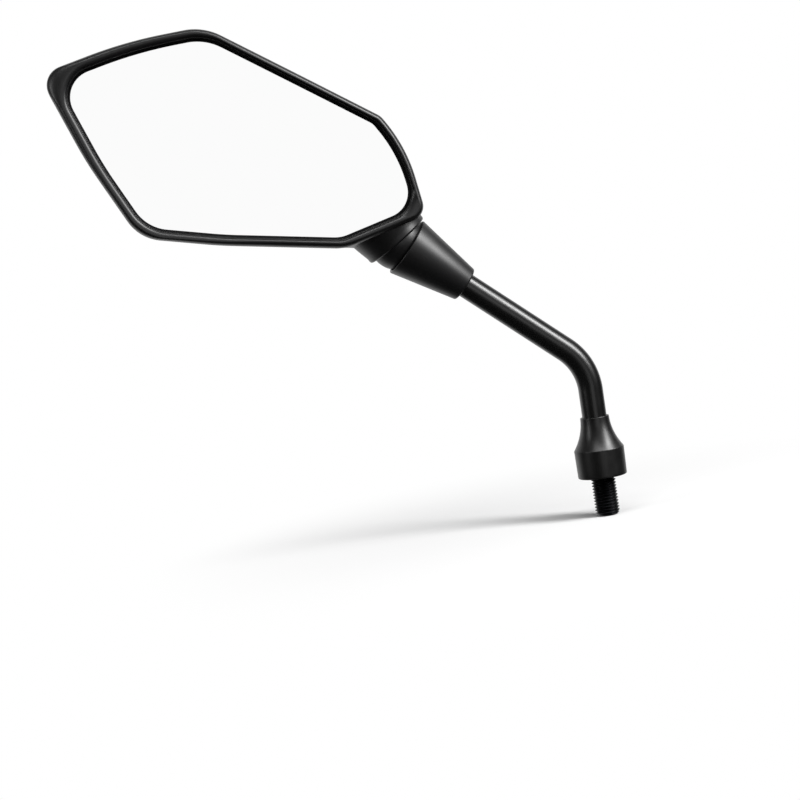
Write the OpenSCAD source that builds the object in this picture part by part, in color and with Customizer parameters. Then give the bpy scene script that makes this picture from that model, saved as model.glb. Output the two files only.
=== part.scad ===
// Left-hand handlebar mirror: a bent rod stem with a threaded foot, a rubber
// boot over the lock nut, a tapered cover, a spring-loaded ball joint and a
// two-shell head with a convex glass.
// Frame: origin on the stud axis at the lock nut's seat, +Z up the stem,
// +X towards the middle of the handlebar, and the glass faces -Y.

/* [Stem] */
// Diameter of the stem rod
stem_d = 10; // [8:0.5:12]
// Height above the seat where the two straight runs of the stem would meet
bend_h = 46.5; // [44:0.5:70]
// Length of the upper run, from that corner to the centre of the ball
upper_len = 92.5; // [80:0.5:130]
// Angle of the upper run above the horizontal
upper_angle = 41; // [35:1:55]
// Bend radius at the centre line of the rod
bend_r = 24; // [18:1:24]
// Diameter of the thread below the seat
stud_d = 10; // [8:1:10]
// Length of the thread below the seat
stud_len = 16; // [12:1:24]

/* [Lock nut and boot] */
// Width across the flats of the lock nut
nut_flats = 14; // [13:0.5:14.5]
// Height of the lock nut
nut_h = 8; // [5:0.5:9]
// Largest outer radius of the boot, at its shoulder
boot_r = 10.2; // [10.2:0.1:12]
// Height of the boot's shoulder
boot_shoulder_h = 11.4; // [11:0.2:14]
// Total height of the boot
boot_h = 24.7; // [23:0.1:25]
// Rubber wall around the nut
boot_wall = 1.6; // [1.2:0.1:1.8]
// Distance that the boot slides up the stem
boot_travel = 10; // [6:1:10]

/* [Ball joint] */
// Radius of the ball on the stem
ball_r = 8; // [7.5:0.1:8.2]
// Thickness of the plastic seat ring under the ball
seat_t = 0.6; // [0.4:0.1:0.8]
// Working clearance between turning surfaces
run_gap = 0.05; // [0.03:0.01:0.08]
// Radius of the visible dome of the socket cap
cap_r = 11.6; // [11.4:0.1:11.9]
// Half angle of the cap's mouth
cap_mouth_angle = 48; // [47:1:50]
// Wire diameter of the preload spring
wire_d = 1.6; // [1.2:0.1:1.8]
// Number of turns of the preload spring
spring_turns = 3.5; // [3:0.5:4]
// Length of the preload spring as fitted
spring_len = 7.5; // [7:0.5:9]

/* [Tapered cover] */
// Distance from the ball's centre to the wide end
cover_start = 4.3; // [4.2:0.1:6]
// Length of the cover
cover_len = 28.2; // [24:0.2:34]
// Outer radius at the wide end
cover_r_wide = 12.3; // [12.2:0.1:13]
// Outer radius at the narrow end
cover_r_narrow = 7.1; // [6.5:0.1:8]

/* [Neck] */
// Lean of the neck's axis away from the vertical
neck_lean = 32.5; // [30:0.5:34]
// Outer radius at the neck's mouth
neck_r = 13.8; // [13.5:0.1:14.4]
// Widest radius of the neck inside the head
neck_bulb_r = 15.6; // [15:0.1:16.5]

/* [Head] */
// Front of the rim's crest, measured from the ball's centre towards the rider
rim_front = 21; // [20:0.5:24]
// Depth of the rear cover behind the ball's centre, at the neck end
back_depth_neck = 17; // [14:0.5:22]
// Depth of the rear cover behind the ball's centre, at the outer end
back_depth_tip = 8; // [4:0.5:14]
// Wall thickness of the rear cover
shell_wall = 2.2; // [1.8:0.1:2.4]
// Radius of curvature of the mirror glass
glass_curve_r = 1400; // [1000:50:1500]
// Thickness of the mirror glass
glass_t = 2; // [1.8:0.1:3]
// Thickness of the foam tape behind the glass
foam_t = 1; // [0.5:0.1:1.5]
// Thickness of the glass carrier
carrier_t = 2; // [1.5:0.1:2.5]
// Width of the rim's lip that overlaps the glass
lip_overlap = 1.2; // [0.8:0.1:1.5]

/* [Hidden] */
$fn = 64;
fine = 600;                          // steps round the large sphere of the glass
eps = 0.01;
past = 1;                            // how far a cutting shape runs past what it cuts

// Stem
bend_angle = 90 - upper_angle;
bend_tangent = bend_r * tan(bend_angle / 2);
bend_thinning = 0.02;                // the rod thins a little where it is bent
bend_overlap = 0.5;                  // degrees of bend inside each straight run
ball = [-upper_len * cos(upper_angle), 0, bend_h + upper_len * sin(upper_angle)];
stud_chamfer = 0.9;
nut_corner_r = nut_flats / 2 / cos(30);
nut_chamfer = (nut_corner_r - nut_flats / 2) * tan(30);
nut_core_r = stud_d / 2 - 0.4;       // thread core inside the nut
nut_mouth_r = stud_d / 2 + 0.3;      // countersink at the nut's two faces
stem_neck_r = 4;                     // rod turned down behind the ball
stem_neck_end = 12;
stem_neck_taper = 2;
spigot_r = 3;
spigot_reach = 3;                    // past the ball's centre
ball_flat = sqrt(ball_r * ball_r - stem_neck_r * stem_neck_r);

// Boot
boot_draft = 0.2;
boot_edge = 0.3;
boot_grip = 0.45;                    // share of the flare that grips the rod
boot_foot_r = boot_r - boot_draft;
boot_top_r = stem_d / 2 + 0.9;
boot_bore_r = stem_d / 2 + run_gap;
boot_cavity_h = boot_shoulder_h - 1;
boot_flare = 2.1;
boot_steps = 10;
boot_lip = 0.9;

// Ball joint, on the neck's axis with +Z into the head
seat_r_in = ball_r + run_gap;
seat_r_out = seat_r_in + seat_t;
socket_r = seat_r_out + run_gap;
cup_r = socket_r + 0.4;
cup_bore_r = cup_r + 0.1;
cup_start = 0.8;
cup_floor = 3;
cup_end = ball_r + cup_floor;
cap_thread_r = cup_bore_r + 1.2;
cap_thread_len = 6;
washer_t = 0.8;
spring_start = cup_end + washer_t;
spring_end = spring_start + spring_len;
spring_r = cup_bore_r - wire_d / 2 - 0.8;
cup_post_r = spring_r - wire_d / 2 - 0.4;
seat_low = 2.1;
seat_high = 6.1;

// Tapered cover
cover_end = cover_start + cover_len;
cover_hub = 8;
cover_wall = 2;
cover_mouth_r = sqrt((cap_r + 0.3) * (cap_r + 0.3) - cover_start * cover_start);
cover_edge = 0.5;
cover_ring_d = 1.4;                  // section of the ring that grips the rod
cover_ring_at = cover_end - 5;
cover_groove = 1.6;

// Neck
neck_edge = 1.1;
neck_len = 17;
neck_steps = 8;
block_r = cap_r;
block_end = spring_end + 2;
block_gap = 0.3;
rim_depth = 7.5;                     // from the crest back to the parting line
neck_set_back = 2.3;                 // behind the parting line
neck_front = rim_front - rim_depth - neck_set_back;        // front of the neck inside the head
neck_seam = 0.2;
room_w = 8 * neck_r;
room_d = rim_front;
bracket_t = 3;
bracket_y = 5;
bracket_outline = [[-24, 8.6], [3, 24], [0, 30], [-18, 34.4], [-27, 14]];
bracket_screws = [[-24, 12], [-3, 30], [-18, 31]];
bracket_screw_len = 7;
boss_r = 3.4;
boss_gap = 0.2;
boss_h = back_depth_neck + rim_front;

// Head outline, seen from the front, relative to the ball's centre.
// Each row: x, z, outer radius, opening radius, rim width on the edge that follows.
CORNERS = [
    [-128.9, 82.0, 7.5, 10.6, 5.2],
    [-116.5, 47.4, 150, 145, 4.7],
    [-101.1, 15.6, 16.8, 16, 4.3],
    [-70.9, 8.4, 180, 175, 4.2],
    [-22.7, 0.1, 18.5, 13.8, 4.7],
    [10.5, 8.4, 5.9, 9.9, 3.8],
    [6.4, 35.6, 60, 56, 4.0],
    [-1.9, 48.8, 7, 6, 3.8],
    [-64.7, 91.7, 22, 20.3, 4.6],
    [-95.2, 89.8, 180, 175, 5.2]
];
arc_steps = 6;
edge_steps = 3;
glass_centre = [-58, 48];
ridge = [[-26, 25], [-88, 60]];
ridge_soft = 0.3;                    // share of the ridge over which its ends are eased
dome_power = 2.7;
dome_rings = 9;
dome_inner_rings = 6;
dome_crown = 0.1;
dome_end = 86;                       // degrees of the last ring round the dome
flare_w = 9;                         // width and rise of the fillet round the neck
flare_h = 6;
flare_from = 2;
flare_room = 12;

// Layers of the head, front to back
lip_depth = 3.4;                     // from the crest back to the lip
lip_front = rim_front - lip_depth;
lip_t = 0.8;
glass_front = lip_front - lip_t;
foam_front = glass_front - glass_t;
carrier_front = foam_front - foam_t;
carrier_back = carrier_front - carrier_t;
parting = rim_front - rim_depth;
lap_t = 1.1;
lap_gap = 0.1;
lap_len = 1.4;
rim_round_w = 2.1;                   // width and height of the round from the wall to the crest
rim_round_h = 3.2;
rim_step = 1.5;                      // width and height of the step down to the glass
rim_step_h = 1.4;
rim_fall = 0.4;                      // share of the fall at the middle of the rim
rim_edge = 0.2;
carrier_screw_at = [[-108, 60], [-62, 72], [-60, 26]];
screw_r = 1.2;
screw_gap = 0.3;
screw_head_r = 2.4;
screw_head_t = 1.3;
carrier_screw_len = 9;
screw_recess = 0.3;

// Frames
module at_stem() translate(ball) rotate([0, 90 + upper_angle, 0]) children();
module at_neck() translate(ball) rotate([0, -neck_lean, 0]) children();
module at_face(xz, y) translate([ball[0] + xz[0], y, ball[2] + xz[1]]) rotate([90, 0, 0]) children();

// Plane geometry of the outline
function cross2(a, b) = a[0] * b[1] - a[1] * b[0];
function mix(a, b, t) = a + (b - a) * t;
function xz(c) = [c[0], c[1]];
n_corners = len(CORNERS);
function corner(i) = CORNERS[(i + n_corners) % n_corners];
function edge_dir(i) = let (d = xz(corner(i + 1)) - xz(corner(i))) d / norm(d);
function edge_in(i) = let (d = edge_dir(i)) [-d[1], d[0]];
function edge_inset(i, share, extra) = corner(i)[4] * share + extra;
// Corner i of the outline moved inwards: where its two inset edges meet
function inset_corner(i, share, extra) =
    let (p = xz(corner(i)) + edge_in(i - 1) * edge_inset(i - 1, share, extra),
         q = xz(corner(i)) + edge_in(i) * edge_inset(i, share, extra),
         d = edge_dir(i - 1),
         e = edge_dir(i))
    p + d * cross2(q - p, e) / cross2(d, e);
function turn(i) = let (d = edge_dir(i - 1), e = edge_dir(i)) atan2(cross2(d, e), d * e);
function corner_r(i, share, extra) = max(0.6, mix(corner(i)[2], corner(i)[3], share) - extra);
function arc_point(i, share, extra, t) =
    let (r = corner_r(i, share, extra),
         a = turn(i),
         d = edge_dir(i - 1),
         n = edge_in(i - 1),
         start = inset_corner(i, share, extra) - d * r * tan(a / 2))
    start + d * r * sin(a * t) + n * r * (1 - cos(a * t));
// The closed outline: each corner's arc, then points along the edge that follows
function outline(share, extra = 0) = [
    for (i = [0:n_corners - 1])
        let (from = arc_point(i, share, extra, 1), to = arc_point(i + 1, share, extra, 0))
        each concat(
            [for (j = [0:arc_steps]) arc_point(i, share, extra, j / arc_steps)],
            [for (j = [1:edge_steps]) mix(from, to, j / (edge_steps + 1))])
];
n_out = n_corners * (arc_steps + 1 + edge_steps);

// Depth by which the convex glass falls back at a point of the face
function sag(p) = let (d = norm(p - glass_centre)) glass_curve_r - sqrt(glass_curve_r * glass_curve_r - d * d);
function on_face(p, front) = [ball[0] + p[0], -front + sag(p), ball[2] + p[1]];

// Faces of a tube of rings, each ring a closed loop of n points
function ring_faces(rings, n, closed) = [
    for (k = [0:rings - (closed ? 1 : 2)], i = [0:n - 1])
        let (a = k * n + i,
             b = k * n + (i + 1) % n,
             c = ((k + 1) % rings) * n + (i + 1) % n,
             d = ((k + 1) % rings) * n + i)
        each [[a, b, c], [a, c, d]]
];
module ring_loop(loops) {
    n = len(loops[0]);
    faces = [for (f = ring_faces(len(loops), n, true)) [f[2], f[1], f[0]]];
    polyhedron([for (l = loops) each l], faces, convexity = 6);
}

// Rear dome: the outline drawn towards a ridge line as it goes back
function ease(t) = (1 - cos(180 * min(1, max(0, t)))) / 2;
function ridge_at(p) =
    let (d = ridge[1] - ridge[0], t = (p - ridge[0]) * d / (d * d))
    ease((t + ridge_soft) / (1 + 2 * ridge_soft));
function dome_point(p, inset, angle) =
    let (t = ridge_at(p),
         foot = mix(ridge[0], ridge[1], t),
         in_share = 1 - pow(cos(angle), 2 / dome_power),
         back_share = pow(sin(angle), 2 / dome_power),
         q = mix(p, foot, in_share),
         y0 = -parting + sag(p),
         y1 = mix(back_depth_neck, back_depth_tip, t) - inset)
    flared([q[0], mix(y0, y1, back_share), q[1]], back_share);
// Near the neck the wall is drawn down towards the mouth in a fillet
neck_dir = [-sin(neck_lean), 0, cos(neck_lean)];
function flared(v, share) =
    let (up = v * neck_dir,
         out = norm(v - neck_dir * up) - neck_r,
         near = pow(max(0, 1 - max(0, out) / flare_w), 2),
         room = ease((up - flare_from) / flare_room))
    ball + v - neck_dir * flare_h * near * room * min(1, 1.5 * share);
function dome_loop(inset, j, rings) =
    [for (p = outline(0, inset)) dome_point(p, inset, j * dome_end / rings)];
// A closed dome, from its front loops to a fan on the ridge
module dome(front_loops, inset, rings) {
    loops = concat(front_loops, [for (j = [0:rings]) dome_loop(inset, j, rings)]);
    n = n_out;
    m = len(loops);
    last = loops[m - 1];
    mid = [for (k = [0:2]) [for (p = last) p[k]] * [for (p = last) 1] / n];
    points = concat([for (l = loops) each l],
                    [[mid[0], loops[0][0][1], mid[2]], [mid[0], mid[1] + dome_crown, mid[2]]]);
    polyhedron(points,
        concat(ring_faces(m, n, false),
               [for (i = [0:n - 1]) [(i + 1) % n, i, m * n]],
               [for (i = [0:n - 1]) [(m - 1) * n + i, (m - 1) * n + (i + 1) % n, m * n + 1]]),
        convexity = 6);
}

// Stem and its foot
module stem() color("#1a1a1c") {
    translate([0, 0, -stud_len]) cylinder(r1 = stud_d / 2 - stud_chamfer, r2 = stud_d / 2, h = stud_chamfer);
    translate([0, 0, stud_chamfer - stud_len]) cylinder(d = stud_d, h = stud_len - stud_chamfer);
    cylinder(r = nut_core_r, h = nut_h);
    translate([0, 0, nut_h]) cylinder(d = stem_d, h = bend_h - bend_tangent - nut_h);
    translate([-bend_r, 0, bend_h - bend_tangent]) rotate([90, 0, 0]) rotate([0, 0, -bend_overlap])
        rotate_extrude(angle = bend_angle + 2 * bend_overlap)
            translate([bend_r, 0]) circle(d = stem_d - bend_thinning);
    at_stem() {
        translate([0, 0, stem_neck_end + stem_neck_taper])
            cylinder(d = stem_d, h = upper_len - bend_tangent - stem_neck_end - stem_neck_taper);
        translate([0, 0, stem_neck_end]) cylinder(r1 = stem_neck_r, r2 = stem_d / 2, h = stem_neck_taper);
        translate([0, 0, ball_flat]) cylinder(r = stem_neck_r, h = stem_neck_end - ball_flat);
        translate([0, 0, -spigot_reach]) cylinder(r = spigot_r, h = spigot_reach + ball_flat);
    }
}

module lock_nut() color("#2a2a2c") difference() {
    intersection() {
        cylinder(r = nut_corner_r, h = nut_h, $fn = 6);
        rotate_extrude() polygon([[0, 0], [nut_flats / 2, 0], [nut_corner_r, nut_chamfer],
            [nut_corner_r, nut_h - nut_chamfer], [nut_flats / 2, nut_h], [0, nut_h]]);
    }
    translate([0, 0, -past]) cylinder(r = nut_core_r, h = nut_h + 2 * past);
    cylinder(r1 = nut_mouth_r, r2 = nut_core_r, h = nut_mouth_r - nut_core_r);
    translate([0, 0, nut_h - nut_mouth_r + nut_core_r])
        cylinder(r1 = nut_core_r, r2 = nut_mouth_r + eps, h = nut_mouth_r - nut_core_r + eps);
}

// Boot: a straight skirt round the nut, then a concave flare up to the rod
function boot_outer(t) = [mix(boot_top_r, boot_r, pow(1 - t, boot_flare)), mix(boot_shoulder_h, boot_h, t)];
module boot() color("#161617") rotate_extrude() polygon(concat(
    [[boot_foot_r - boot_wall, 0], [boot_foot_r - boot_edge, 0], [boot_foot_r, boot_edge],
     [boot_foot_r, boot_lip], [boot_r, boot_shoulder_h]],
    [for (i = [1:boot_steps]) boot_outer(i / boot_steps)],
    [[boot_bore_r, boot_h], [boot_bore_r, mix(boot_h, boot_shoulder_h, boot_grip)],
     [boot_r - boot_wall, boot_cavity_h]]));

// Tapered cover: a thin cone with a hub that grips the rod
function cover_r(a) = mix(cover_r_wide, cover_r_narrow, (a - cover_start) / cover_len);
module tapered_cover() color("#1c1c1e") at_stem() rotate_extrude() polygon([
    [cover_mouth_r, cover_start],
    [cover_r_wide - cover_edge, cover_start],
    [cover_r(cover_start + cover_edge), cover_start + cover_edge],
    [cover_r(cover_end - cover_edge), cover_end - cover_edge],
    [cover_r_narrow - cover_edge, cover_end],
    [stem_d / 2, cover_end],
    [stem_d / 2, cover_ring_at + cover_groove / 2],
    [stem_d / 2 + cover_groove, cover_ring_at + cover_groove / 2],
    [stem_d / 2 + cover_groove, cover_ring_at - cover_groove / 2],
    [stem_d / 2, cover_ring_at - cover_groove / 2],
    [stem_d / 2, cover_end - cover_hub],
    [cover_r(cover_end - cover_hub) - cover_wall, cover_end - cover_hub],
    ]);

module cover_ring() color("#121213") at_stem() translate([0, 0, cover_ring_at]) rotate_extrude()
    translate([(stem_d + cover_ring_d) / 2, 0]) circle(d = cover_ring_d);

// Ball joint
module ball() color("#8a8c90") at_stem() difference() {
    sphere(r = ball_r);
    translate([0, 0, ball_flat]) cylinder(r = ball_r, h = ball_r);
    translate([0, 0, -spigot_reach]) cylinder(r = spigot_r, h = spigot_reach + ball_r);
}

module seat_ring() color("#e6e2d6") at_stem() intersection() {
    difference() {
        sphere(r = seat_r_out);
        sphere(r = seat_r_in);
    }
    translate([0, 0, seat_low]) cylinder(r = socket_r + past, h = seat_high - seat_low);
}

module pressure_cup() color("#d8d4c8") at_neck() difference() {
    union() {
        translate([0, 0, cup_start]) cylinder(r = cup_r, h = cup_end - cup_start);
        translate([0, 0, cup_end]) cylinder(r = cup_post_r, h = washer_t + wire_d * 1.5);
    }
    sphere(r = seat_r_in);
}

module spring_washer() color("#9a9ca0") at_neck() translate([0, 0, cup_end]) difference() {
    cylinder(r = cup_r, h = washer_t);
    translate([0, 0, -past]) cylinder(r = cup_post_r + run_gap, h = washer_t + 2 * past);
}

module socket_cap() color("#1a1a1c") at_neck() difference() {
    union() {
        intersection() {
            sphere(r = cap_r);
            translate([0, 0, -cap_r - past]) cylinder(r = cap_r + past, h = cap_r + past);
        }
        cylinder(r = cap_thread_r - run_gap, h = cap_thread_len);
    }
    sphere(r = socket_r);
    cylinder(r = cup_bore_r, h = cap_thread_len + past);
    translate([0, 0, -2 * cap_r]) cylinder(r1 = 2 * cap_r * tan(cap_mouth_angle), r2 = 0, h = 2 * cap_r);
}

// Preload spring, swept along a helix
spring_sides = 8;
spring_per_turn = 22;
module preload_spring() color("#9a9ca0") at_neck() {
    steps = round(spring_turns * spring_per_turn);
    rise = spring_len - wire_d;
    slope = atan2(rise, spring_turns * 2 * PI * spring_r);
    loops = [for (k = [0:steps])
        let (a = 360 * spring_turns * k / steps, z = spring_start + wire_d / 2 + rise * k / steps)
        [for (s = [0:spring_sides - 1])
            let (b = 360 * s / spring_sides, out = wire_d / 2 * cos(b), up = wire_d / 2 * sin(b))
            [(spring_r + out) * cos(a) + up * sin(slope) * sin(a),
             (spring_r + out) * sin(a) - up * sin(slope) * cos(a),
             z + up * cos(slope)]]];
    polyhedron([for (l = loops) each l],
        concat(ring_faces(steps + 1, spring_sides, false),
               [[for (s = [0:spring_sides - 1]) spring_sides - 1 - s]],
               [[for (s = [0:spring_sides - 1]) steps * spring_sides + s]]),
        convexity = 10);
}

// Neck of the rear cover: it swells into the head
module neck_outside() {
    rotate_extrude() polygon(concat(
        [[0, 0]],
        [for (a = [-90:30:0]) [neck_r - neck_edge + neck_edge * cos(a), neck_edge + neck_edge * sin(a)]],
        [for (i = [0:neck_steps]) let (t = i / neck_steps)
            [mix(neck_r, neck_bulb_r, sin(90 * t)), mix(2 * neck_edge, neck_len, t)]],
        [[0, neck_len]]));
}
// Room for the glass and the bezel in front of the neck
module head_front_room() {
    edge = edge_dir(4);
    at = xz(corner(4)) - edge_in(4) * neck_seam;
    translate([ball[0] + at[0], 0, ball[2] + at[1]]) rotate([0, -atan2(edge[1], edge[0]), 0])
        translate([-room_w / 2, -neck_front - room_d, 0]) cube([room_w, room_d, room_w]);
}

// Socket block: a closed barrel for the ball joint, with a bracket for its screws
module socket_block() color("#3a3b3e") difference() {
    union() {
        at_neck() cylinder(r = block_r, h = block_end);
        for (p = bracket_screws) at_face(p, bracket_y) cylinder(r = boss_r, h = bracket_t);
        translate([ball[0], bracket_y, ball[2]]) rotate([90, 0, 0]) linear_extrude(bracket_t)
            polygon(bracket_outline);
    }
    at_neck() {
        translate([0, 0, -past]) cylinder(r = cap_thread_r, h = cap_thread_len + past);
        translate([0, 0, -past]) cylinder(r = cup_bore_r, h = spring_end + past);
    }
    for (p = bracket_screws)
        at_face(p, bracket_y + past) cylinder(r = screw_r + screw_gap, h = bracket_t + 2 * past);
}

module screw(len) {
    cylinder(r = screw_head_r, h = screw_head_t);
    translate([0, 0, -len]) cylinder(r = screw_r, h = len);
}
module block_screws() color("#8f9194")
    for (p = bracket_screws) at_face(p, bracket_y - bracket_t) screw(bracket_screw_len);

// Rear cover: a shell with a tongue for the bezel, and bosses for the screws
module shell_outside(inset) dome([
    [for (p = outline(0, lap_t)) on_face(p, parting + lap_len)],
    [for (p = outline(0, lap_t)) on_face(p, parting)],
    [for (p = outline(0)) on_face(p, parting)]], inset, dome_rings);
module at_boss(p, y) translate([ball[0] + p[0], y + boss_gap, ball[2] + p[1]]) rotate([-90, 0, 0]) children();
module at_carrier_screw(p) at_face(p, sag(p) + screw_recess + screw_head_t - carrier_front) children();
module rear_cover() color("#1a1a1c") difference() {
    union() {
        difference() {
            shell_outside(0);
            dome([[for (p = outline(0, shell_wall)) on_face(p, parting + 2 * lap_len)]],
                shell_wall, dome_inner_rings);
        }
        difference() {
            at_neck() neck_outside();
            head_front_room();
        }
        intersection() {
            union() {
                for (p = carrier_screw_at) at_boss(p, sag(p) - carrier_back) cylinder(r = boss_r, h = boss_h);
                for (p = bracket_screws) at_boss(p, bracket_y) cylinder(r = boss_r, h = boss_h);
            }
            dome([[for (p = outline(0, shell_wall / 2)) on_face(p, parting)]],
                shell_wall / 2, dome_inner_rings);
        }
    }
    at_neck() translate([0, 0, -past]) cylinder(r = block_r + run_gap, h = block_end + 2 * past);
    for (p = carrier_screw_at) at_carrier_screw(p) screw(carrier_screw_len);
    for (p = bracket_screws) at_face(p, bracket_y - bracket_t) screw(bracket_screw_len);
}

// Head pieces cut from the outline and bounded by the curve of the glass
module curved_plate(front, thick, share, extra) {
    centre = [ball[0] + glass_centre[0], glass_curve_r - front, ball[2] + glass_centre[1]];
    intersection() {
        translate([ball[0], 0, ball[2]]) rotate([90, 0, 0]) linear_extrude(rim_front)
            polygon(outline(share, extra));
        difference() {
            translate(centre) sphere(r = glass_curve_r, $fn = fine);
            translate(centre) sphere(r = glass_curve_r - thick, $fn = fine);
        }
    }
}
module mirror_glass() color("#e8edf0") curved_plate(glass_front, glass_t, 1, -lip_overlap);
module foam_tape() color("#3a3a3c") curved_plate(foam_front, foam_t, 1, 1);
module glass_carrier() color("#202022") difference() {
    curved_plate(carrier_front, carrier_t, 1, -lip_overlap);
    for (p = carrier_screw_at) at_face(p, 0) cylinder(r = screw_r + screw_gap, h = rim_front);
    for (p = carrier_screw_at) at_carrier_screw(p) cylinder(r = screw_head_r + screw_gap, h = rim_front);
    at_neck() cylinder(r = neck_bulb_r + block_gap, h = block_end + block_gap);
}
module carrier_screws() color("#8f9194")
    for (p = carrier_screw_at) at_carrier_screw(p) screw(carrier_screw_len);

// Bezel: a ring whose section runs from the outer wall over the crest and the step to the lip
function rim_loop(share, extra, front) = [for (p = outline(share, extra)) on_face(p, front)];
module bezel() color("#1a1a1c") {
    groove = lip_overlap + lap_gap;
    ring_loop([
        rim_loop(0, lap_t - lap_gap, parting),
        rim_loop(0, rim_edge, parting),
        rim_loop(0, 0, parting + rim_edge),
        for (a = [0:22.5:90])
            rim_loop(0, rim_round_w * (1 - cos(a)), rim_front - rim_round_h * (1 - sin(a))),
        rim_loop(0.5, (rim_round_w - rim_step) / 2, rim_front - (lip_depth - rim_step_h) * rim_fall),
        rim_loop(1, -rim_step - rim_edge, lip_front + rim_step_h + rim_edge),
        rim_loop(1, -rim_step + rim_edge, lip_front + rim_step_h - rim_edge),
        rim_loop(1, -rim_edge, lip_front),
        rim_loop(1, 0, lip_front - rim_edge),
        rim_loop(1, 0, lip_front - lip_t),
        rim_loop(1, -groove, lip_front - lip_t),
        rim_loop(1, -groove, parting + lap_len + lap_gap),
        rim_loop(0, lap_t - lap_gap, parting + lap_len + lap_gap)
    ]);
}

stem();
lock_nut();
boot();
tapered_cover();
cover_ring();
ball();
seat_ring();
pressure_cup();
socket_cap();
spring_washer();
preload_spring();
socket_block();
block_screws();
rear_cover();
glass_carrier();
carrier_screws();
foam_tape();
mirror_glass();
bezel();
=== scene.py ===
import bmesh
import bpy
import numpy as np
from mathutils import Matrix


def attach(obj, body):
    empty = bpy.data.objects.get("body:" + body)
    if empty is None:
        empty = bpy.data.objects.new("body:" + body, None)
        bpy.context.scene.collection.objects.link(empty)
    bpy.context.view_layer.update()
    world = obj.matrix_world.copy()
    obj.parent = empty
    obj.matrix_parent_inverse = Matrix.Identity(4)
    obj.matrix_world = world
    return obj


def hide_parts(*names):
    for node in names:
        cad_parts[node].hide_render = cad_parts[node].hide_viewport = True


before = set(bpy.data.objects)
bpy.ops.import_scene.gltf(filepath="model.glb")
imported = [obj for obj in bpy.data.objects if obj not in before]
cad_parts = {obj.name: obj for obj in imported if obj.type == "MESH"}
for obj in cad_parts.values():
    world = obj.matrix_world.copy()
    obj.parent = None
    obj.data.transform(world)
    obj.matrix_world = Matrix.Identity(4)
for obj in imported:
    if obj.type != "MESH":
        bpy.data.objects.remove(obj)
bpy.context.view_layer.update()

MM = 0.001

# Stem, in millimetres, as in the part's source
STEM_R = 5.0
BEND_H = 46.5
UPPER_LEN = 92.5
UPPER_ANGLE = np.radians(41.0)
BEND_R = 24.0
STUD_LEN = 16.0
STUD_CHAMFER = 0.9
THREAD_PITCH = 1.25
THREAD_DEPTH = 0.72
THREAD_FLANK = 2.5
THREAD_FLAT = 0.12
NUT_CORE_R = 4.6
NUT_H = 8.0
STEM_NECK_R = 4.0
STEM_NECK_END = 12.0
STEM_NECK_TAPER = 2.0
BALL_R = 8.0

# Boot
BOOT_R = 10.2
BOOT_FOOT_R = 10.0
BOOT_SHOULDER_H = 11.4
BOOT_H = 24.7
BOOT_WALL = 1.6
BOOT_TOP_R = 5.9
BOOT_FLARE = 2.1

# Tapered cover
COVER_START = 4.3
COVER_LEN = 28.2
COVER_R_WIDE = 12.3
COVER_R_NARROW = 7.1
COVER_HUB = 8.0
COVER_WALL = 2.0

# Ball joint and neck
CAP_R = 11.6
CAP_INNER_R = 8.7
CAP_MOUTH = np.radians(48.0)
NECK_LEAN = np.radians(32.5)
NECK_R = 13.8
NECK_BULB_R = 15.6
NECK_LEN = 17.0
NECK_EDGE = 1.1

# Head
RIM_FRONT = 21.0
BACK_NECK = 17.0
BACK_TIP = 8.0
SHELL_WALL = 2.2
LIP_FRONT = RIM_FRONT - 3.4
LIP_T = 0.8
LIP_OVERLAP = 1.2
GLASS_FRONT = LIP_FRONT - LIP_T
GLASS_T = 2.0
PARTING = RIM_FRONT - 7.5
NECK_FRONT = PARTING - 2.3
LAP_T = 1.1
LAP_LEN = 1.4
GLASS_CURVE = 1400.0
GLASS_CENTRE = np.array([-58.0, 48.0])
RIDGE = np.array([[-26.0, 25.0], [-88.0, 60.0]])
RIDGE_SOFT = 0.3
RIDGE_STATIONS = 40
DOME_POWER = 2.7
FLARE_W = 9.0
FLARE_H = 6.0
FLARE_FROM = 2.0
FLARE_ROOM = 12.0

# How far inside the outline the neck goes behind the bezel, and the gap between touching faces
RIM_BURY = 1.3
SEAM = 0.02

# Rim section: round, slope and groove, bead and lip; insets are from the opening's edge
RIM_ROUND_W = 1.9
RIM_ROUND_H = 3.2
CREST_TO_OPENING = 3.3
CREST_MOVES = (-45.0, -100.0)
SLOPE_END = 80
GROOVE_INSET = 1.3
GROOVE_DEPTH = 1.1
BEAD_INSET = 0.9
BEAD_H = 0.15

# Head outline seen from the front: x, z from the ball's centre, outer radius,
# opening radius, and the rim's width on the edge that follows
CORNERS = np.array([
    [-128.9, 82.0, 7.5, 10.6, 5.2],
    [-116.5, 47.4, 150.0, 145.0, 4.7],
    [-101.1, 15.6, 16.8, 16.0, 4.3],
    [-70.9, 8.4, 180.0, 175.0, 4.2],
    [-22.7, 0.1, 18.5, 13.8, 4.7],
    [10.5, 8.4, 5.9, 9.9, 3.8],
    [6.4, 35.6, 60.0, 56.0, 4.0],
    [-1.9, 48.8, 7.0, 6.0, 3.8],
    [-64.7, 91.7, 22.0, 20.3, 4.6],
    [-95.2, 89.8, 180.0, 175.0, 5.2],
])
ARC_STEPS = 14
EDGE_STEPS = 10

# Camera, in degrees and metres
CAMERA_TURN = (-8.0, 5.0, -8.5126)
CAMERA_PLACE = (-0.18350, -0.74868, 0.11021)

# Studio, for gloss: the screen's centre, half size and soft edge along x and z of a direction,
# the y at which the screen and the back wall begin and are full, and the strength of the rest
SCREEN_X = (0.076, 0.205, 0.08)
SCREEN_Z = (0.061, 0.15, 0.06)
SCREEN_FRONT = (0.0, -0.2)
WALL_Y = (0.3, 0.8)
DIM_SIDES = 0.03
SOFT_LIGHT = 0.12

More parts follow.
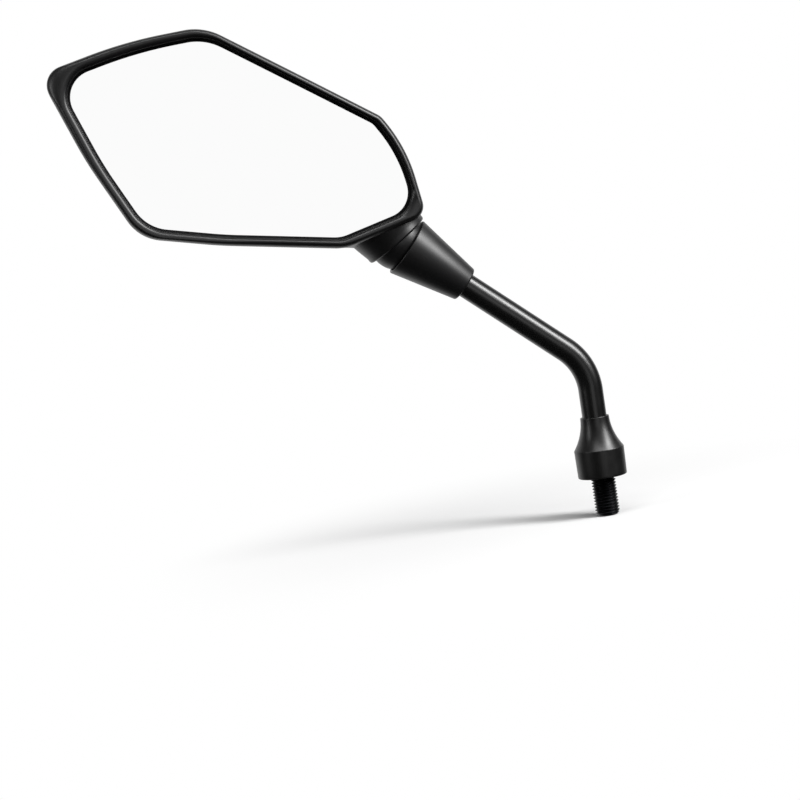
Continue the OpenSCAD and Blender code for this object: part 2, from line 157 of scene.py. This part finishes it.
# Floor: its size and its gap under the stud in metres, and where it fades to white in mm
FLOOR_SIZE = 6.0
FLOOR_GAP = 0.0002
FLOOR_FADE = (20.0, 200.0)

BALL = np.array([
    -UPPER_LEN * np.cos(UPPER_ANGLE), 0.0, BEND_H + UPPER_LEN * np.sin(UPPER_ANGLE)])
BEND_ANGLE = np.pi / 2 - UPPER_ANGLE
BEND_TANGENT = BEND_R * np.tan(BEND_ANGLE / 2)


def camera():
    """A camera at the photograph's place: azimuth, elevation and roll round the line of sight."""
    az, el, roll = np.radians(CAMERA_TURN)
    back = np.array([np.sin(az) * np.cos(el), -np.cos(az) * np.cos(el), np.sin(el)])
    right = np.array([np.cos(az), np.sin(az), 0.0])
    up = np.cross(back, right)
    right, up = (np.cos(roll) * right + np.sin(roll) * up,
                 -np.sin(roll) * right + np.cos(roll) * up)
    data = bpy.data.cameras.new("camera")
    data.lens = 85.0
    data.sensor_width = 36.0
    data.clip_end = 20.0
    obj = bpy.data.objects.new("camera", data)
    bpy.context.scene.collection.objects.link(obj)
    place = np.eye(4)
    place[:3, :3] = np.stack([right, up, back], 1)
    place[:3, 3] = CAMERA_PLACE
    obj.matrix_world = Matrix(place.tolist())
    bpy.context.scene.camera = obj


def colour(code):
    """Linear colour of an sRGB hex value."""
    c = np.array([int(code[i:i + 2], 16) for i in (1, 3, 5)]) / 255.0
    lin = np.where(c <= 0.04045, c / 12.92, ((c + 0.055) / 1.055) ** 2.4)
    return (*lin.tolist(), 1.0)


def add(tree, kind, links=None, **settings):
    """Adds a node, sets its attributes or sockets, and links its inputs to the given outputs."""
    node = tree.nodes.new(kind)
    for key, value in settings.items():
        if hasattr(node, key):
            setattr(node, key, value)
        else:
            node.inputs[key.replace("_", " ")].default_value = value
    for socket, output in (links or {}).items():
        tree.links.new(output, node.inputs[socket])
    return node


def material(name, base, roughness, metallic=0.0, **sockets):
    """A Principled material; returns it with its tree, shader and object coordinates in mm."""
    mat = bpy.data.materials.new(name)
    mat.use_nodes = True
    tree = mat.node_tree
    shader = tree.nodes["Principled BSDF"]
    shader.inputs["Base Color"].default_value = colour(base)
    shader.inputs["Roughness"].default_value = roughness
    shader.inputs["Metallic"].default_value = metallic
    for key, value in sockets.items():
        shader.inputs[key.replace("_", " ")].default_value = value
    coords = add(tree, "ShaderNodeTexCoord")
    millimetres = add(tree, "ShaderNodeMapping", {"Vector": coords.outputs["Object"]},
                      Scale=(1000.0, 1000.0, 1000.0))
    return mat, tree, shader, millimetres.outputs["Vector"]


def grain(tree, shader, place, size_mm, depth_mm, detail=2.0):
    """Bump from noise whose cells are size_mm across and depth_mm deep."""
    noise = add(tree, "ShaderNodeTexNoise", {"Vector": place}, Scale=1.0 / size_mm, Detail=detail)
    bump = add(tree, "ShaderNodeBump", {"Height": noise.outputs["Fac"]},
               Strength=1.0, Distance=depth_mm * MM)
    tree.links.new(bump.outputs["Normal"], shader.inputs["Normal"])


def vary_roughness(tree, shader, place, size_mm, low, high):
    """Roughness that wanders between two values over patches size_mm across."""
    noise = add(tree, "ShaderNodeTexNoise", {"Vector": place}, Scale=1.0 / size_mm, Detail=3.0)
    spread = add(tree, "ShaderNodeMapRange", {"Value": noise.outputs["Fac"]},
                 From_Min=0.3, From_Max=0.7, To_Min=low, To_Max=high)
    tree.links.new(spread.outputs["Result"], shader.inputs["Roughness"])


def powder_coat():
    """Steel rod under black powder coat: a satin film with a faint orange peel."""
    mat, tree, shader, place = material("black_powder_coated_steel", "#040404", 0.28,
                                        Specular_IOR_Level=0.8)
    vary_roughness(tree, shader, place, 9.0, 0.28, 0.33)
    grain(tree, shader, place, 1.2, 0.0015)
    return mat


def moulded_plastic():
    """Glass-filled nylon, moulded: satin black, faintly uneven."""
    mat, tree, shader, place = material("black_moulded_nylon", "#050506", 0.42,
                                        Specular_IOR_Level=0.8)
    vary_roughness(tree, shader, place, 14.0, 0.39, 0.45)
    grain(tree, shader, place, 2.5, 0.0015)
    return mat


def boot_rubber():
    """EPDM rubber, moulded: matt black with a dull sheen and a slight bloom."""
    mat, tree, shader, place = material("black_epdm_rubber", "#050505", 0.38,
                                        Specular_IOR_Level=0.7)
    vary_roughness(tree, shader, place, 5.0, 0.33, 0.42)
    grain(tree, shader, place, 0.5, 0.003, detail=4.0)
    return mat


def silvered_glass():
    """Silvered convex glass: a clean, neutral mirror."""
    return material("silvered_mirror_glass", "#FBFBFB", 0.01, metallic=1.0)[0]


def black_zinc():
    """Black zinc-plated steel of the nut and the thread."""
    mat, tree, shader, place = material("black_zinc_plated_steel", "#2A2B2D", 0.38, metallic=1.0)
    vary_roughness(tree, shader, place, 2.5, 0.30, 0.46)
    grain(tree, shader, place, 0.5, 0.003)
    return mat


def bright_steel():
    """Bright drawn or turned steel."""
    mat, tree, shader, place = material("bright_turned_steel", "#B4B6BA", 0.28, metallic=1.0)
    grain(tree, shader, place, 0.4, 0.002)
    return mat


def die_cast_zinc():
    """Zinc alloy as die-cast: grey with a fine orange peel."""
    mat, tree, shader, place = material("die_cast_zinc", "#8E9094", 0.42, metallic=1.0)
    grain(tree, shader, place, 0.8, 0.006)
    return mat


def natural_nylon():
    """Natural nylon of the seat and the cup: milky and waxy."""
    mat, tree, shader, place = material("natural_nylon", "#DAD5C6", 0.4, IOR=1.53)
    shader.inputs["Subsurface Weight"].default_value = 0.1
    grain(tree, shader, place, 0.6, 0.003)
    return mat


def foam():
    """Closed-cell foam tape."""
    mat, tree, shader, place = material("foam_tape", "#2C2C2E", 0.85)
    grain(tree, shader, place, 0.3, 0.02)
    return mat


def grid_piece(name, points, mat, body, replaces, closed_u=False, closed_v=False):
    """A mesh of quads over a grid of points (rows, columns, 3) in mm, with poles and seams merged.

    It rides on a body and stands for the CAD node that it replaces, if any."""
    rows, cols = points.shape[:2]
    r = np.arange(rows if closed_u else rows - 1)
    c = np.arange(cols if closed_v else cols - 1)
    i, j = np.meshgrid(r, c, indexing="ij")
    i2, j2 = (i + 1) % rows, (j + 1) % cols
    quads = np.stack([i * cols + j, i * cols + j2, i2 * cols + j2, i2 * cols + j], -1)
    mesh = bpy.data.meshes.new(name)
    mesh.from_pydata((points.reshape(-1, 3) * MM).tolist(), [], quads.reshape(-1, 4).tolist())
    work = bmesh.new()
    work.from_mesh(mesh)
    bmesh.ops.remove_doubles(work, verts=work.verts, dist=1e-7)
    bmesh.ops.recalc_face_normals(work, faces=work.faces)
    work.to_mesh(mesh)
    work.free()
    mesh.shade_smooth()
    mesh.materials.append(mat)
    obj = bpy.data.objects.new(name, mesh)
    bpy.context.scene.collection.objects.link(obj)
    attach(obj, body)
    if replaces:
        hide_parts(replaces)
    return obj


def fillet(corners, steps=6):
    """A polyline whose corners (a, b, radius) are rounded; ends and zero radii stay sharp."""
    pts = np.array(corners, float)
    out = [pts[0, :2]]
    for before, here, after in zip(pts[:-2], pts[1:-1], pts[2:]):
        p, radius = here[:2], here[2]
        u = before[:2] - p
        w = after[:2] - p
        lu, lw = np.linalg.norm(u), np.linalg.norm(w)
        u, w = u / lu, w / lw
        half = np.arccos(np.clip(u @ w, -1, 1)) / 2
        reach = min(radius / max(np.tan(half), 1e-6), 0.48 * lu, 0.48 * lw)
        if radius <= 0 or half > np.pi / 2 - 1e-3:
            out.append(p)
            continue
        r = reach * np.tan(half)
        bisector = (u + w) / np.linalg.norm(u + w)
        centre = p + bisector * r / np.sin(half)
        a, b = p + u * reach - centre, p + w * reach - centre
        turn = np.arctan2(a[0] * b[1] - a[1] * b[0], a @ b)
        t = np.linspace(0, turn, steps)
        out.extend(centre + np.stack([a[0] * np.cos(t) - a[1] * np.sin(t),
                                      a[0] * np.sin(t) + a[1] * np.cos(t)], 1))
    out.append(pts[-1, :2])
    return np.array(out)


def revolve(profile, steps=96):
    """Grid of a profile (radius, height) turned round the z axis: p = (r cos a, r sin a, h)."""
    a = np.linspace(0, 2 * np.pi, steps, endpoint=False)
    r, h = profile[:, :1], profile[:, 1:2]
    return np.stack([r * np.cos(a), r * np.sin(a), h + 0 * a], -1)


def along(points, axis_x, axis_z):
    """Points of a local frame centred on the ball, whose z axis lies in the stem's plane."""
    ex = np.array([axis_x[0], 0.0, axis_x[1]])
    ez = np.array([axis_z[0], 0.0, axis_z[1]])
    ey = np.cross(ez, ex)
    return BALL + points @ np.stack([ex, ey, ez])


def at_stem(points):
    """From the stem's frame: z runs from the ball down the upper run of the stem."""
    c, s = np.cos(UPPER_ANGLE), np.sin(UPPER_ANGLE)
    return along(points, (-s, -c), (c, -s))


def at_neck(points):
    """From the neck's frame: z runs from the ball into the head."""
    c, s = np.cos(NECK_LEAN), np.sin(NECK_LEAN)
    return along(points, (c, s), (-s, c))


def unit(v):
    """Vectors scaled to length 1."""
    return v / np.linalg.norm(v, axis=-1, keepdims=True)


def ease(t):
    """A smooth step from 0 to 1: half a cosine."""
    return (1 - np.cos(np.pi * np.clip(t, 0, 1))) / 2


def outline(share, extra=0.0):
    """The head's outline moved inwards: share of the rim's width plus extra mm, corners as arcs.

    Each corner is where its two inset edges meet; its arc has a radius between the outer
    and the opening radius. share and extra may be arrays: the result has their shape, then
    the points round the outline."""
    share, extra = np.broadcast_arrays(np.asarray(share, float), np.asarray(extra, float))
    s, e = share[..., None, None], extra[..., None, None]
    p = CORNERS[:, :2]
    d = unit(np.roll(p, -1, 0) - p)
    n = np.stack([-d[:, 1], d[:, 0]], 1)
    width = CORNERS[:, 4:5]
    q = p + n * (width * s + e)
    q_before = p + np.roll(n, 1, 0) * (np.roll(width, 1, 0) * s + e)
    d_before = np.roll(d, 1, 0)

    def cross(a, b):
        return a[..., 0] * b[..., 1] - a[..., 1] * b[..., 0]

    corner = q_before + d_before * (cross(q - q_before, d) / cross(d_before, d))[..., None]
    turn = np.arctan2(cross(d_before, d), (d_before * d).sum(-1))
    radius = CORNERS[:, 2] * (1 - s[..., 0]) + CORNERS[:, 3] * s[..., 0] - e[..., 0]
    radius = np.maximum(0.6, radius)
    t = np.linspace(0, 1, ARC_STEPS + 1)
    start = corner - d_before * (radius * np.tan(turn / 2))[..., None]
    angle = turn[:, None] * t
    r = radius[..., None, None]
    arcs = (start[..., None, :] + d_before[:, None, :] * r * np.sin(angle)[..., None]
            + np.roll(n, 1, 0)[:, None, :] * r * (1 - np.cos(angle))[..., None])
    nxt = np.roll(arcs[..., 0, :], -1, -2)
    last = arcs[..., -1, :]
    k = np.arange(1, EDGE_STEPS + 1) / (EDGE_STEPS + 1)
    edges = last[..., None, :] + (nxt - last)[..., None, :] * k[:, None]
    loop = np.concatenate([arcs, edges], -2)
    return loop.reshape(*share.shape, -1, 2)


def sag(p):
    """How far the sphere of the glass falls back at a point of the face."""
    d2 = ((p - GLASS_CENTRE) ** 2).sum(-1)
    return GLASS_CURVE - np.sqrt(GLASS_CURVE ** 2 - d2)


def on_face(p, front):
    """Points of the object's frame from face points and their distance before the ball."""
    return np.stack([BALL[0] + p[..., 0], -front + sag(p), BALL[2] + p[..., 1]], -1)


def stem_piece(mats):
    """The rod swept along its path: each station has a centre, a direction and a radius."""
    straight = BEND_H - BEND_TANGENT
    heights = np.array([NUT_H + SEAM, NUT_H + 0.4, NUT_H + 0.8, straight * 0.6, straight])
    radii = [NUT_CORE_R, STEM_R - 0.05, STEM_R, STEM_R, STEM_R]
    centres = [np.stack([0 * heights, 0 * heights, heights], 1)]
    rads = [radii]
    a = np.linspace(0, BEND_ANGLE, 40)[1:]
    centres.append(np.stack([-BEND_R + BEND_R * np.cos(a), 0 * a,
                             straight + BEND_R * np.sin(a)], 1))
    rads.append([STEM_R] * len(a))
    top = fillet([(UPPER_LEN - BEND_TANGENT, STEM_R, 0),
                  (STEM_NECK_END + STEM_NECK_TAPER, STEM_R, 0.8),
                  (STEM_NECK_END, STEM_NECK_R, 0.8), (BALL_R * 0.8, STEM_NECK_R, 0)], 5)[1:]
    up = np.array([-np.cos(UPPER_ANGLE), 0.0, np.sin(UPPER_ANGLE)])
    centres.append(BALL - up * top[:, :1])
    rads.append(top[:, 1])
    centres.append(BALL[None] - up * BALL_R * 0.8)
    rads.append([0.0])
    c = np.concatenate([[[0, 0, NUT_H + SEAM]], *centres])
    r = np.concatenate([[0.0], *rads])
    way = unit(np.gradient(c, axis=0) + np.array([0, 0, 1e-9]))
    side = np.array([0.0, 1.0, 0.0])
    out = np.cross(side, way)
    t = np.linspace(0, 2 * np.pi, 96, endpoint=False)[:, None]
    ring = out[:, None] * np.cos(t) + side * np.sin(t)
    grid = c[:, None] + ring * r[:, None, None]
    grid_piece("stem_rod", grid, mats["coat"], "stem", "stem", closed_v=True)
    # Thread: the radius follows a trimmed triangle wave of height and angle, a true helix
    h = np.linspace(-STUD_LEN, NUT_H, 20 * int((STUD_LEN + NUT_H) / THREAD_PITCH))
    a = np.linspace(0, 2 * np.pi, 72, endpoint=False)
    hh, aa = np.meshgrid(h, a, indexing="ij")
    phase = (hh / THREAD_PITCH - aa / (2 * np.pi)) % 1.0
    tooth = np.clip(np.abs(phase - 0.5) * THREAD_FLANK - THREAD_FLAT, 0, 1)
    rr = STEM_R - THREAD_DEPTH * tooth
    rr = np.minimum(rr, STEM_R - STUD_CHAMFER + (hh + STUD_LEN))
    rr = np.where(hh > -0.3, NUT_CORE_R - SEAM, rr)
    stud = np.stack([rr * np.cos(aa), rr * np.sin(aa), hh], -1)
    caps = np.zeros((1, len(a), 3))
    stud = np.concatenate([caps + [0, 0, -STUD_LEN], stud, caps + [0, 0, NUT_H]])
    grid_piece("stud_thread", stud, mats["zinc"], "stem", None, closed_v=True)


def boot_piece(mats):
    """Straight skirt with rounded lips, then a flare r = top + (shoulder - top)(1 - t)^k."""
    t = np.linspace(0.04, 0.93, 24)
    flare = np.stack([BOOT_TOP_R + (BOOT_R - BOOT_TOP_R) * (1 - t) ** BOOT_FLARE,
                      BOOT_SHOULDER_H + (BOOT_H - BOOT_SHOULDER_H) * t], 1)
    skirt = fillet([(BOOT_FOOT_R - BOOT_WALL, 0.0, 0), (BOOT_FOOT_R, 0.0, 0.45),
                    (BOOT_FOOT_R + 0.02, 1.3, 0.2), (BOOT_R, BOOT_SHOULDER_H, 0.5),
                    (flare[0, 0], flare[0, 1], 0)], 7)[:-1]
    top = fillet([(flare[-1, 0], flare[-1, 1], 0), (BOOT_TOP_R, BOOT_H - 0.7, 0.2),
                  (BOOT_TOP_R, BOOT_H, 0.3), (STEM_R + 0.05, BOOT_H, 0.05),
                  (STEM_R + 0.05, BOOT_H - 6.0, 0), (BOOT_R - BOOT_WALL, BOOT_SHOULDER_H - 1.0, 0),
                  (BOOT_FOOT_R - BOOT_WALL, 0.05, 0)], 5)[1:]
    grid_piece("rubber_boot", revolve(np.concatenate([skirt, flare, top])), mats["rubber"],
               "boot", "boot", closed_u=True, closed_v=True)


def cover_piece(mats):
    """A thin cone with rounded edges and a hub on the rod."""
    end = COVER_START + COVER_LEN
    hub = end - COVER_HUB
    slope = (COVER_R_WIDE - COVER_R_NARROW) / COVER_LEN
    inner = np.sqrt((CAP_R + 0.3) ** 2 - COVER_START ** 2)
    profile = fillet([(inner, COVER_START + 1, 0), (inner, COVER_START, 0.15),
                      (COVER_R_WIDE, COVER_START, 0.45), (COVER_R_NARROW, end, 0.9),
                      (STEM_R + 0.35, end, 0.3), (STEM_R, end - 1.0, 0),
                      (STEM_R, hub, 0), (COVER_R_NARROW + slope * COVER_HUB - COVER_WALL, hub, 0),
                      (inner, COVER_START + 1.05, 0)], 7)
    grid_piece("cone_cover", at_stem(revolve(profile)), mats["plastic"], "stem",
               "tapered_cover", closed_u=True, closed_v=True)


def dome_cap_piece(mats):
    """The socket cap: a spherical wall round the ball, open at its mouth."""
    a = np.linspace(np.pi / 2, CAP_MOUTH, 40)
    outer = np.stack([CAP_R * np.sin(a), -CAP_R * np.cos(a)], 1)
    inner = np.stack([CAP_INNER_R * np.sin(a[::-1]), -CAP_INNER_R * np.cos(a[::-1])], 1)
    profile = np.concatenate([outer, inner])
    grid_piece("socket_dome", at_neck(revolve(profile, 120)), mats["plastic"], "head",
               "socket_cap", closed_u=True, closed_v=True)


def rim_piece(mats):
    """The bezel's section carried round the outline: elliptic round, slope, bead, lip and back.

    The crest runs near the outer edge at the neck and moves towards the opening further out:
    loop = (1 - k) outer loop + k opening loop, where k eases from 0 to 1 along x. Each part of
    the section has loops on the face and their distances in front of the ball."""
    outer_edge = outline(0.0)
    k = ease((outer_edge[:, :1] - CREST_MOVES[0]) / (CREST_MOVES[1] - CREST_MOVES[0]))
    crest = outline(0.0, RIM_ROUND_W) * (1 - k) + outline(1.0, -CREST_TO_OPENING) * k
    t = np.radians(np.linspace(0, 90, 18))[:, None, None]
    face = outer_edge + (crest - outer_edge) * (1 - np.cos(t))
    face_front = RIM_FRONT - RIM_ROUND_H * (1 - np.sin(t[..., 0]))

    groove = RIM_FRONT - GROOVE_DEPTH
    slope = np.sin(np.radians(np.linspace(0, SLOPE_END, 12)))[1:, None, None]
    fall = 1 - np.sqrt(1 - slope[..., 0] ** 2)
    inward = crest + (outline(1.0, -GROOVE_INSET) - crest) * slope / slope[-1]
    inward_front = RIM_FRONT + (groove - RIM_FRONT) * fall / fall[-1]

    section = fillet([(-GROOVE_INSET, groove, 0), (-GROOVE_INSET + 0.15, groove - 0.05, 0.1),
                      (-BEAD_INSET, groove + BEAD_H, 0.25),
                      (-0.3, LIP_FRONT + 0.3, 0.5), (0.0, LIP_FRONT - 0.15, 0.15),
                      (0.0, GLASS_FRONT + SEAM, 0.05),
                      (-LIP_OVERLAP - 0.15, GLASS_FRONT + SEAM, 0),
                      (-LIP_OVERLAP - 0.15, PARTING + LAP_LEN, 0)], 6)[1:]
    lip = outline(1.0, section[:, 0])
    back = outline(0.0, [1.0, 1.0, 0.2, 0.06])
    back_front = np.array([PARTING + LAP_LEN, PARTING, PARTING, PARTING + 0.06])[:, None]

    parts = [(face, face_front), (inward, inward_front), (lip, section[:, 1:]), (back, back_front)]
    fronts = [np.broadcast_to(front, loops.shape[:2]) for loops, front in parts]
    grid = on_face(np.concatenate([loops for loops, front in parts]), np.concatenate(fronts))
    grid_piece("rim", grid, mats["plastic"], "head", "bezel", closed_u=True, closed_v=True)


def glass_piece(mats):
    """Convex glass: a disc of the sphere, from the centre out to the outline, with its edge.

    Glossy rays don't see it, because light by way of the glass left speckle on the rim."""
    edge = outline(1.0, -LIP_OVERLAP)
    k = np.linspace(0, 1, 40)[:, None, None]
    flat = GLASS_CENTRE + (edge - GLASS_CENTRE) * np.sin(k * np.pi / 2)
    face = on_face(flat, GLASS_FRONT)
    back = on_face(flat[::-1], GLASS_FRONT - GLASS_T)
    glass = grid_piece("convex_glass", np.concatenate([face, back]), mats["mirror"], "head",
                       "mirror_glass", closed_v=True)
    glass.visible_glossy = False


def housing_piece(mats):
    """Rear cover: the outline drawn to the ridge as it goes back, both as powers of cos and sin.

    Near the neck the wall is drawn down towards its mouth: a fillet, strongest at the neck."""
    neck = np.array([-np.sin(NECK_LEAN), 0.0, np.cos(NECK_LEAN)])

    def dome(inset, steps):
        p = outline(0.0, inset)
        d = RIDGE[1] - RIDGE[0]
        t = ease(((p - RIDGE[0]) @ d / (d @ d) + RIDGE_SOFT) / (1 + 2 * RIDGE_SOFT))[:, None]
        foot = RIDGE[0] + d * t
        a = np.linspace(0, np.pi / 2, steps)[:, None, None]
        back = np.sin(a) ** (2 / DOME_POWER)
        q = p + (foot - p) * (1 - np.cos(a) ** (2 / DOME_POWER))
        y0 = -PARTING + sag(p)[:, None]
        y = y0 + (BACK_NECK + (BACK_TIP - BACK_NECK) * t - inset - y0) * back
        v = np.concatenate([q[..., :1], y, q[..., 1:]], -1)
        # The last row lies on the ridge, at stations that both sides share, so that they weld
        t = np.round(t * RIDGE_STATIONS) / RIDGE_STATIONS
        foot = RIDGE[0] + d * t
        crown = BACK_NECK + (BACK_TIP - BACK_NECK) * t - inset
        v[-1] = np.concatenate([foot[:, :1], crown, foot[:, 1:]], 1)
        up = v @ neck
        out = np.linalg.norm(v - up[..., None] * neck, axis=-1) - NECK_R
        near = np.clip(1 - np.maximum(0, out) / FLARE_W, 0, 1) ** 2
        drop = FLARE_H * near * ease((up - FLARE_FROM) / FLARE_ROOM)
        drop = drop * np.minimum(1, 1.5 * back[..., 0])
        return BALL + v - drop[..., None] * neck

    outer = dome(0.0, 40)
    tongue = np.stack([on_face(outline(0.0, LAP_T), PARTING + LAP_LEN),
                       on_face(outline(0.0, LAP_T), PARTING),
                       on_face(outline(0.0, 0.2), PARTING)])
    inner = dome(SHELL_WALL, 24)[::-1]
    grid = np.concatenate([inner, tongue, outer])
    grid_piece("housing", grid, mats["plastic"], "head", "rear_cover", closed_v=True)
    t = np.linspace(0, 1, 20)
    swell = np.stack([NECK_R + (NECK_BULB_R - NECK_R) * np.sin(t * np.pi / 2),
                      2 * NECK_EDGE + (NECK_LEN - 2 * NECK_EDGE) * t], 1)
    bore = CAP_R + 0.05
    mouth = fillet([(bore, 1.0, 0), (bore, 0.0, 0.3), (NECK_R, 0.0, 0.9),
                    (NECK_R, 2 * NECK_EDGE, 0)], 7)
    inside = np.array([[bore, NECK_LEN], [bore, NECK_EDGE]])
    profile = np.concatenate([mouth, swell[1:], inside])
    grid = at_neck(revolve(profile, 160))
    # Inside the head the skirt is flattened, to leave room for the bezel and the glass
    edge = unit(CORNERS[5, :2] - CORNERS[4, :2])
    inward = np.array([-edge[1], edge[0]])
    depth = (grid[..., [0, 2]] - BALL[[0, 2]] - CORNERS[4, :2]) @ inward
    grid[..., 1] = np.where(depth > RIM_BURY, np.maximum(grid[..., 1], -NECK_FRONT), grid[..., 1])
    grid_piece("neck_skirt", grid, mats["plastic"], "head", None, closed_u=True, closed_v=True)


def background_rays(tree):
    """1 for rays from the camera, from gloss and through glass, 0 for diffuse light."""
    path = add(tree, "ShaderNodeLightPath")
    seen = add(tree, "ShaderNodeMath",
               {0: path.outputs["Is Camera Ray"], 1: path.outputs["Is Glossy Ray"]},
               operation="MAXIMUM")
    seen = add(tree, "ShaderNodeMath", {0: seen.outputs[0], 1: path.outputs["Is Transmission Ray"]},
               operation="MAXIMUM")
    return path, seen.outputs[0]


def step(tree, value, start, end, **settings):
    """Rises from 0 at the start value to 1 at the end value, and stays level outside them."""
    return add(tree, "ShaderNodeMapRange", {"Value": value}, From_Min=start, From_Max=end,
               **settings).outputs["Result"]


def band(tree, value, centre, half, edge):
    """1 where the value lies within half of the centre, falling to 0 over the edge's width."""
    away = add(tree, "ShaderNodeMath", {0: value}, operation="SUBTRACT")
    away.inputs[1].default_value = centre
    size = add(tree, "ShaderNodeMath", {0: away.outputs[0]}, operation="ABSOLUTE")
    return step(tree, size.outputs[0], half + edge, half, interpolation_type="SMOOTHSTEP")


def studio_world():
    """White for the camera. For gloss: a white screen in front, a white back wall, dim sides."""
    world = bpy.data.worlds.new("studio")
    bpy.context.scene.world = world
    world.use_nodes = True
    world.cycles.sampling_method = "NONE"
    tree = world.node_tree
    tree.nodes.clear()
    white = (1, 1, 1, 1)
    path, seen = background_rays(tree)
    coords = add(tree, "ShaderNodeTexCoord")
    way = add(tree, "ShaderNodeSeparateXYZ", {"Vector": coords.outputs["Generated"]})
    wide = band(tree, way.outputs["X"], *SCREEN_X)
    high = band(tree, way.outputs["Z"], *SCREEN_Z)
    front = step(tree, way.outputs["Y"], *SCREEN_FRONT)
    wall = step(tree, way.outputs["Y"], *WALL_Y, interpolation_type="SMOOTHSTEP")
    screen = add(tree, "ShaderNodeMath", {0: wide, 1: high}, operation="MULTIPLY")
    screen = add(tree, "ShaderNodeMath", {0: screen.outputs[0], 1: front}, operation="MULTIPLY")
    lit = add(tree, "ShaderNodeMath", {0: screen.outputs[0], 1: wall}, operation="MAXIMUM")
    gloss = step(tree, lit.outputs[0], 0.0, 1.0, To_Min=DIM_SIDES)
    glossy = add(tree, "ShaderNodeBackground", {"Strength": gloss}, Color=white)
    soft = add(tree, "ShaderNodeBackground", Color=white, Strength=SOFT_LIGHT)
    plain = add(tree, "ShaderNodeBackground", Color=white, Strength=1.0)
    shown = add(tree, "ShaderNodeMixShader", {0: seen, 1: soft.outputs[0], 2: plain.outputs[0]})
    mixed = add(tree, "ShaderNodeMixShader",
                {0: path.outputs["Is Glossy Ray"], 1: shown.outputs[0], 2: glossy.outputs[0]})
    add(tree, "ShaderNodeOutputWorld", {"Surface": mixed.outputs[0]})


def studio_floor():
    """Matt white floor at the stud's end; further out it becomes the white of the background.

    Glossy rays don't see it, so that the black surfaces stay dark underneath."""
    bpy.ops.mesh.primitive_plane_add(size=FLOOR_SIZE, location=(0, 0, -STUD_LEN * MM - FLOOR_GAP))
    floor = bpy.context.object
    floor.name = "floor"
    mat, tree, shader, place = material("matt_white_backdrop", "#F4F4F4", 0.9,
                                        Specular_IOR_Level=0.1)
    path, seen = background_rays(tree)
    far = add(tree, "ShaderNodeVectorMath", {0: place}, operation="LENGTH")
    fade = step(tree, far.outputs["Value"], *FLOOR_FADE, interpolation_type="SMOOTHSTEP")
    share = add(tree, "ShaderNodeMath", {0: fade, 1: seen}, operation="MULTIPLY")
    glow = add(tree, "ShaderNodeEmission", Color=(1, 1, 1, 1), Strength=1.0)
    mixed = add(tree, "ShaderNodeMixShader",
                {0: share.outputs[0], 1: shader.outputs[0], 2: glow.outputs[0]})
    tree.links.new(mixed.outputs[0], tree.nodes["Material Output"].inputs["Surface"])
    floor.data.materials.append(mat)
    floor.visible_glossy = False


def lamp(name, place, aim, size, power):
    """A rectangular soft box that faces a point."""
    data = bpy.data.lights.new(name, "AREA")
    data.shape = "RECTANGLE"
    data.size, data.size_y = size
    data.energy = power
    obj = bpy.data.objects.new(name, data)
    bpy.context.scene.collection.objects.link(obj)
    back = unit(np.array(place, float) - np.array(aim, float))
    side = unit(np.cross([0, 0, 1.0], back))
    m = np.eye(4)
    m[:3, :3] = np.stack([side, np.cross(back, side), back], 1)
    m[:3, 3] = place
    obj.matrix_world = Matrix(m.tolist())


camera()
bpy.context.scene.view_settings.view_transform = "Standard"
studio_world()
studio_floor()
lamp("key", (0.62, -0.46, 0.64), (-0.05, 0, 0.1), (0.3, 0.75), 12.5)
lamp("overhead", (-0.05, -0.5, 0.95), (-0.08, 0, 0.11), (0.9, 0.2), 4)
lamp("left", (-0.9, -0.3, 0.3), (-0.08, 0, 0.11), (0.1, 0.5), 1.2)

mats = {
    "coat": powder_coat(),
    "plastic": moulded_plastic(),
    "rubber": boot_rubber(),
    "mirror": silvered_glass(),
    "zinc": black_zinc(),
    "steel": bright_steel(),
    "cast": die_cast_zinc(),
    "nylon": natural_nylon(),
    "foam": foam(),
}
stem_piece(mats)
boot_piece(mats)
cover_piece(mats)
dome_cap_piece(mats)
rim_piece(mats)
glass_piece(mats)
housing_piece(mats)

CARRIED = {
    "lock_nut": "zinc", "ball": "steel", "seat_ring": "nylon", "pressure_cup": "nylon",
    "spring_washer": "steel", "preload_spring": "steel", "socket_block": "cast",
    "block_screws": "steel", "cover_ring": "rubber", "glass_carrier": "plastic",
    "carrier_screws": "steel", "foam_tape": "foam",
}
for node, finish in CARRIED.items():
    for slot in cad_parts[node].material_slots:
        slot.material = mats[finish]
